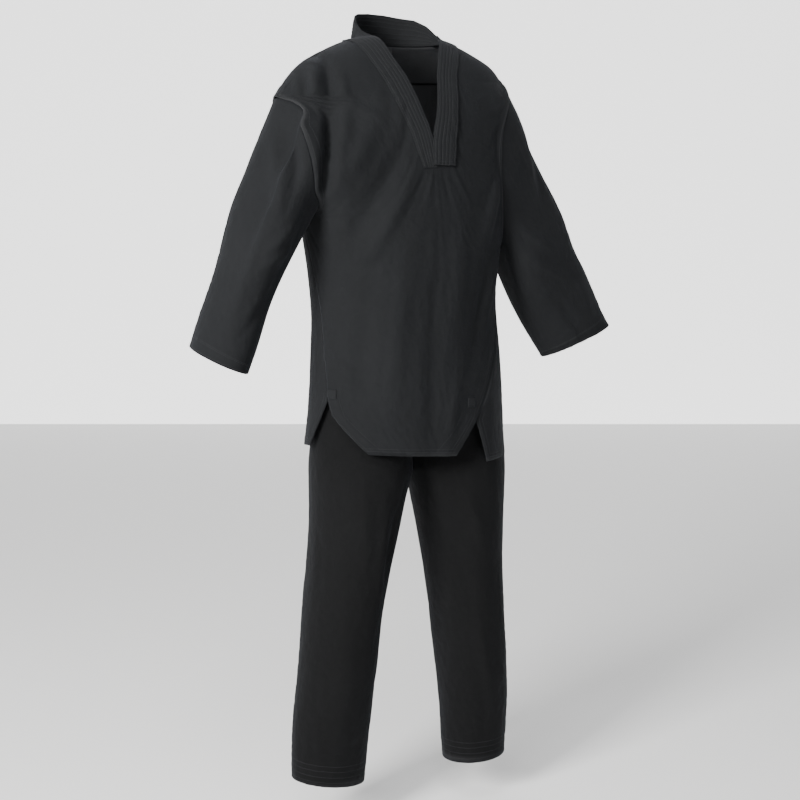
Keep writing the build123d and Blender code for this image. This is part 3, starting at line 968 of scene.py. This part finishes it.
for side, word in ((-1, "right"), (1, "left")):
    s = lapelShape[side]
    u, v = gridShares(46, 124)
    down = np.clip((v - s["turn"]) / (1 - s["turn"]), 0, 1)
    drawn = between(s["inner"], s["outer"], u, down)
    groove = sum(np.exp(-(((u - r) / 0.022) ** 2)) for r in lapelRows)
    rim = np.clip(np.minimum(np.minimum(u, 1 - u) / 0.05, (1 - v) / 0.02), 0, 1)
    lift = s["lift"] - 0.0007 * groove - 0.0010 * (1 - np.sqrt(rim))
    if side > 0:
        lift = lift - 0.0022 * np.clip((drawn[..., 1] - 0.26) / 0.05, 0, 1)
    p, n = onFront(drawn[..., 0], drawn[..., 1], lift)
    # the top of the band runs on round the neck and up into the collar stand
    up = np.clip((s["turn"] - v) / s["turn"], 0, 1)
    angle = np.radians(s["stand"][0] + (s["stand"][1] - s["stand"][0]) * up)
    stand, face = onStand(angle, 1 - u, 0.0030 - 0.0007 * groove)
    share = np.clip(up / 0.7, 0, 1)
    share = (share * share * (3 - 2 * share))[..., None]
    p, n = p * (1 - share) + stand * share, n * (1 - share) + face * share
    n /= np.linalg.norm(n, axis=-1, keepdims=True)
    lapels[side] = {"points": p, "normals": n}
    piece = patchPiece("lapel" + word.capitalize(), p, n, "jacket_cloth", "jacket_cloth", 0.0018, "lapel_" + word,
                       body="jacket", wear=lambda q: np.full(len(q), 0.12))

# inside the back neck
u, v = gridShares(70, 18)
angle = np.radians(112 + 136 * u)
yokePoints, yokeNormals = onBack(angle, 0.338 + 0.066 * v, -0.0016)
# the yoke lining takes the same lighter cloth, painted light inside the back neck
yoke = patchPiece("yokeLining", yokePoints, yokeNormals, "lining", "jacket_cloth", thickness["facing"], "yoke_lining",
                  body="jacket")
u, v = gridShares(12, 8)
labelPoints, labelNormals = onBack(math.pi + (u - 0.5) * 0.24, 0.352 + 0.028 * v, -0.0031)
label = patchPiece("neckLabel", labelPoints, labelNormals, "elastic", "label_tape", 0.0004, "neck_label", body="jacket")


def loopTape():
    u, v = gridShares(3, 40)
    turn = np.pi * v
    x = -0.023 * np.cos(turn)
    z = 0.398 - 0.018 * np.sin(turn)
    p, n = onBack(math.pi - x / 0.125, z, -0.0032 - 0.004 * np.sin(turn))
    return p + np.stack([np.zeros_like(u), np.zeros_like(u), (u - 0.5) * 0.010], -1), n


loopPoints, loopNormals = loopTape()
hangingLoop = patchPiece("hangingLoop", loopPoints, loopNormals, "elastic", "tape", 0.0008, "hanging_loop", body="jacket")

# hem facings
u, v = gridShares(70, 5)
hemZ = cut["frontHem"] + 0.001 + 0.016 * v
left, right = -sideAngle(-1, hemZ) + 0.03, sideAngle(1, hemZ) - 0.03
wide = smoothRows(rings, tOf(hemZ))[..., 1]
hemX = np.sin(left + (right - left) * u) * wide
p, n = onFront(hemX, hemZ, -0.0016)
hemFront = facing("hemFacingFront", p, n, "hem_facing_front", body="jacket")
u, v = gridShares(130, 5)
hemZ = cut["backHem"] + 0.001 + 0.016 * v
start, end = backAngle(1, hemZ) + 0.05, 2 * math.pi - backAngle(-1, hemZ) - 0.05
p, n = onBack(start + (end - start) * u, hemZ, -0.0016)
hemBack = facing("hemFacingBack", p, n, "hem_facing_back", body="jacket")

# vent facings and patches
for side, word in ((-1, "right"), (1, "left")):
    apex = ventTop[side]
    u, v = gridShares(8, 30)
    z = cut["frontHem"] + 0.004 + (apex - cut["frontHem"] - 0.006) * v
    a = sideAngle(side, z) - 0.02 - 0.16 * u
    wide = smoothRows(rings, tOf(z))[..., 1]
    p, n = onFront(side * np.sin(a) * wide, z, -0.0026)
    piece = facing("ventFacingFront" + word.capitalize(), p, n, "vent_facing_" + word + "_front", body="jacket")
    z = cut["backHem"] + 0.004 + (apex - cut["backHem"] - 0.006) * v
    a = backAngle(side, z) + 0.02 + 0.16 * u
    p, n = onBack(a if side > 0 else 2 * math.pi - a, z, -0.0026)
    piece = facing("ventFacingBack" + word.capitalize(), p, n, "vent_facing_" + word + "_back", body="jacket")
    u, v = gridShares(8, 8)
    centre = (-0.168, -0.222) if side < 0 else (0.076, -0.240)
    rim = np.clip(np.minimum(np.minimum(u, 1 - u), np.minimum(v, 1 - v)) / 0.12, 0, 1)
    wide = 0.0115 if side < 0 else 0.017
    p, n = onFront(centre[0] + (u - 0.5) * wide, centre[1] + (v - 0.5) * 0.018, 0.0008 + 0.0008 * np.sqrt(rim))
    piece = patchPiece("ventPatch" + word.capitalize(), p, n, "jacket_cloth", "jacket_cloth", 0.0010, "vent_patch_" + word,
                       body="jacket", wear=lambda q: np.full(len(q), 0.12))

# underarm gussets, cuff facings
for side, word in ((-1, "right"), (1, "left")):
    u, v = gridShares(14, 14)
    turn = 0.5 + (u - 0.5) * 0.17
    p, n = onPanel(panels[word + "Sleeve"], turn, v * 0.16, -0.0016)
    piece = facing("gusset" + word.capitalize(), p, n, "gusset_" + word, bend=sleeveBend[side])
    u, v = gridShares(88, 6)
    p, n = onPanel(panels[word + "Sleeve"], u, 0.945 + 0.05 * v, -0.0016)
    piece = facing("cuffFacing" + word.capitalize(), p, n, "cuff_facing_" + word, body=word + "_sleeve")
    p, n = onPanel(panels[word + "Leg"], u, 0.955 + 0.043 * v, -0.0016)
    piece = facing("legHemFacing" + word.capitalize(), p, n, "leg_hem_facing_" + word, "trouser_cloth",
                   body=word + "_leg")


# waistband with its elastic, crotch gusset
def bandPoints(a, b, zFrom, zTo, cols, rows, gather):
    u, v = gridShares(cols, rows)
    turn = 2 * np.pi * u
    ripple = gather * np.sin(56 * turn) * np.sin(np.pi * v)
    p = np.stack([(a + ripple) * np.cos(turn), (b + ripple) * np.sin(turn), zFrom + (zTo - zFrom) * v], -1)
    n = np.stack([np.cos(turn), np.sin(turn), 0 * turn], -1)
    return p, n


p, n = bandPoints(0.1428, 0.1048, -0.038, 0.0, 448, 10, 0.0008)
waistband = patchPiece("waistbandCloth", p, n, "trouser_cloth", "trouser_cloth", 0.0012, "waistband", body="trousers")
p, n = bandPoints(0.1408, 0.1028, -0.035, -0.003, 120, 4, 0.0)
elastic = patchPiece("waistElastic", p, n, "elastic", "elastic", 0.0014, "waist_elastic", body="trousers")


def crotchPoints():
    # a strip under the crotch, from the front seam to the back seam, sewn over both legs' inner edges
    along = np.concatenate([np.linspace(0.350, 0.400, 22), np.linspace(0.400, 0.350, 22)])
    half = np.concatenate([np.linspace(0.006, 0.035, 22), np.linspace(0.035, 0.006, 22)])
    front = np.arange(44) < 22
    rows, normals = [], []
    for k in range(44):
        across = np.linspace(-1, 1, 17) * half[k]
        points = []
        for a in across:
            u = abs(a) if front[k] else 1 - abs(a)
            q, m = onPanel(panels["rightLeg" if a < 0 else "leftLeg"], u, along[k], 0.0012)
            points.append((q, m))
        rows.append([q[0] for q in points])
        normals.append([q[1] for q in points])
    return np.array(rows), np.array(normals)


p, n = crotchPoints()
crotch = patchPiece("crotchGusset", p, n, "trouser_cloth", "trouser_cloth", 0.0010, "crotch_gusset", body="trousers")
print("small pieces made")


# stitching
def stitchSeed():
    bm = bmesh.new()
    bmesh.ops.create_uvsphere(bm, u_segments=4, v_segments=3, radius=0.5)
    bmesh.ops.rotate(bm, verts=bm.verts, matrix=Vector((0, 0, 1)).rotation_difference(Vector((1, 0, 0))).to_matrix())
    mesh = bpy.data.meshes.new("stitchSeed")
    bm.to_mesh(mesh)
    bm.free()
    verts = np.array([v.co for v in mesh.vertices])
    faces = [list(f.vertices) for f in mesh.polygons]
    bpy.data.meshes.remove(mesh)
    return verts, faces


stitchSettings = {"pitch": 0.0034, "long": 0.0026, "wide": 0.0009, "high": 0.0007}
stitchRows = {}


def stitchLine(body, place, normal):
    stitchRows.setdefault(body, []).append((np.asarray(place), np.asarray(normal)))


def buildStitches(body, s):
    verts, faces = stitchSeed()
    places, axes = [], []
    for line, normal in stitchRows[body]:
        step = np.linalg.norm(np.diff(line, axis=0), axis=1)
        run = np.concatenate([[0], np.cumsum(step)])
        count = int(run[-1] / s["pitch"])
        if count < 2:
            continue
        at = (np.arange(count) + 0.5) * run[-1] / count
        centre = np.stack([np.interp(at, run, line[:, k]) for k in range(3)], -1)
        ahead = np.stack([np.interp(at + 0.001, run, line[:, k]) for k in range(3)], -1)
        behind = np.stack([np.interp(at - 0.001, run, line[:, k]) for k in range(3)], -1)
        up = np.stack([np.interp(at, run, normal[:, k]) for k in range(3)], -1)
        along = ahead - behind
        along /= np.maximum(np.linalg.norm(along, axis=1, keepdims=True), 1e-9)
        across = np.cross(up, along)
        across /= np.maximum(np.linalg.norm(across, axis=1, keepdims=True), 1e-9)
        up = np.cross(along, across)
        places.append(centre)
        axes.append(np.stack([along * s["long"], across * s["wide"], up * s["high"]], 1))
    places, axes = np.concatenate(places), np.concatenate(axes)
    points = (places[:, None, :] + np.einsum("vk,nkd->nvd", verts, axes)).reshape(-1, 3)
    shift = (np.arange(len(places)) * len(verts))[:, None]
    allFaces = [(np.array(f) + k).tolist() for k in shift[:, 0] for f in faces]
    mesh = bpy.data.meshes.new("stitches_" + body)
    mesh.from_pydata(points.tolist(), [], allFaces)
    # the stitches take the lighter thread colour, a painted highlight
    mesh.materials.append(looks["thread"])
    piece = bpy.data.objects.new("stitches_" + body, mesh)
    scene.collection.objects.link(piece)
    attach(piece, body)
    print("stitches", body, len(places))


for side in (-1, 1):
    s = lapels[side]
    cols = s["points"].shape[1] - 1
    for r in lapelRows:
        column = int(round(r * cols))
        stitchLine("jacket", s["points"][:, column] + s["normals"][:, column] * 0.0002, s["normals"][:, column])
    if side > 0:
        for row in (-2, -4):
            stitchLine("jacket", s["points"][row] + s["normals"][row] * 0.0002, s["normals"][row])
for r in standRows:
    row = int(round(r * standSteps))
    keep = slice(22, 140)
    for shift, sign in ((0.0004, 1), (-0.0026, -1)):
        stitchLine("jacket", standPoints[row, keep] + standNormals[row, keep] * shift, standNormals[row, keep] * sign)
frontSpan = np.linspace(0, 1, 60)
for up in (0.0075, 0.0125):
    z = np.full(60, cut["frontHem"] + up)
    left, right = -sideAngle(-1, z), sideAngle(1, z)
    x = np.sin(left + (right - left) * (0.01 + 0.98 * frontSpan)) * smoothRows(rings, tOf(z))[:, 1]
    stitchLine("jacket", *onFront(x, z, 0.0002))
    z = np.full(160, cut["backHem"] + up)
    start, end = backAngle(1, z), 2 * math.pi - backAngle(-1, z)
    stitchLine("jacket", *onBack(start + (end - start) * np.linspace(0.01, 0.99, 160), z, 0.0002))
for side in (-1, 1):
    apex = ventTop[side]
    for into in (0.035, 0.075, 0.21):
        z = np.linspace(cut["frontHem"] + 0.006, apex + 0.01, 40)
        wide = smoothRows(rings, tOf(z))[:, 1]
        stitchLine("jacket", *onFront(side * np.sin(sideAngle(side, z) - into) * wide, z, 0.0002))
        z = np.linspace(cut["backHem"] + 0.006, apex + 0.01, 40)
        a = backAngle(side, z) + into
        stitchLine("jacket", *onBack(a if side > 0 else 2 * math.pi - a, z, 0.0002))
    # side seams, shoulder seams and the two rows inside the dropped armhole seam
    z = np.linspace(apex + 0.012, armhole[side]["low"] - 0.006, 90)
    for into in (0.02, 0.055):
        wide = smoothRows(rings, tOf(z))[:, 1]
        stitchLine("jacket", *onFront(side * np.sin(sideAngle(side, z) - into) * wide, z, 0.0002))
    z = np.linspace(armhole[side]["top"] + 0.007, 0.402, 60)
    for into in (0.06, 0.13):
        wide = smoothRows(rings, tOf(z))[:, 1]
        stitchLine("jacket", *onFront(side * np.sin(math.pi / 2 - into) * wide, z, 0.0002))
    name = "frontRight" if side < 0 else "frontLeft"
    low, high = armhole[side]["low"] + 0.004, armhole[side]["top"] - 0.003
    v = rowShare(frontRows, np.linspace(low, high, 70))
    for into in (0.012, 0.035):
        stitchLine("jacket", *onPanel(panels[name], np.full(70, into), v, 0.0002))
    v = rowShare(backRows, np.linspace(low, high, 70))
    for into in (0.006, 0.018):
        stitchLine("jacket", *onPanel(panels["back"], np.full(70, into if side > 0 else 1 - into), v, 0.0002))
    word = "Right" if side < 0 else "Left"
    sleeve, leg = panels[word.lower() + "Sleeve"], panels[word.lower() + "Leg"]
    ring = np.linspace(0, 1, 120)
    for v in (0.952, 0.958, 0.992):
        stitchLine(word.lower() + "_sleeve", *onPanel(sleeve, ring, np.full(120, v), 0.0002))
    for v in (0.957, 0.968, 0.980, 0.991):
        stitchLine(word.lower() + "_leg", *onPanel(leg, ring, np.full(120, v), 0.0002))
for body in list(stitchRows):
    buildStitches(body, stitchSettings)
print("stitching done")

# studio
studio = {"floor": {"size": 14, "place": (0, 0, -1.02), "tone": 0.86},
          "backdrop": {"size": 9, "place": (2.3, 4.5, 4), "tone": 0.9, "glow": 1.6}}


def bigPlane(name, s):
    material, shader = plainMaterial("pale" + name.capitalize())
    shader.inputs["Base Color"].default_value = (s["tone"], s["tone"], s["tone"], 1)
    shader.inputs["Roughness"].default_value = 0.9
    bm = bmesh.new()
    bmesh.ops.create_grid(bm, x_segments=1, y_segments=1, size=s["size"])
    mesh = bpy.data.meshes.new(name)
    bm.to_mesh(mesh)
    bm.free()
    plane = bpy.data.objects.new(name, mesh)
    scene.collection.objects.link(plane)
    plane.location = s["place"]
    mesh.materials.append(material)
    return plane, shader


floor = bigPlane("floor", studio["floor"])[0]
backdrop, backdropShader = bigPlane("backdrop", studio["backdrop"])
backdrop.rotation_euler = (math.radians(90), 0, math.radians(cameraSettings["azimuth"]))
backdropShader.inputs["Emission Color"].default_value = (1, 1, 1, 1)
backdropShader.inputs["Emission Strength"].default_value = studio["backdrop"]["glow"]

lights = {
    "key": {"place": (-3.0, -1.6, 1.0), "size": 1.0, "power": 265, "colour": (1.0, 0.99, 0.97)},
    "fill": {"place": (-0.2, -3.2, 0.8), "size": 1.4, "power": 14, "colour": (0.95, 0.97, 1.0)},
    "top": {"place": (-1.2, -1.5, 2.4), "size": 1.2, "power": 48, "colour": (1, 1, 1)},
}
for name, s in lights.items():
    data = bpy.data.lights.new(name, "AREA")
    data.energy = s["power"]
    data.size = s["size"]
    data.color = s["colour"]
    lamp = bpy.data.objects.new(name, data)
    scene.collection.objects.link(lamp)
    lamp.location = s["place"]
    lamp.rotation_euler = (Vector((0, 0, -0.1)) - Vector(s["place"])).to_track_quat("-Z", "Y").to_euler()
world = scene.world or bpy.data.worlds.new("world")
scene.world = world
world.use_nodes = True
world.node_tree.nodes["Background"].inputs["Color"].default_value = (1, 1, 1, 1)
world.node_tree.nodes["Background"].inputs["Strength"].default_value = 0.18
print("studio lit")
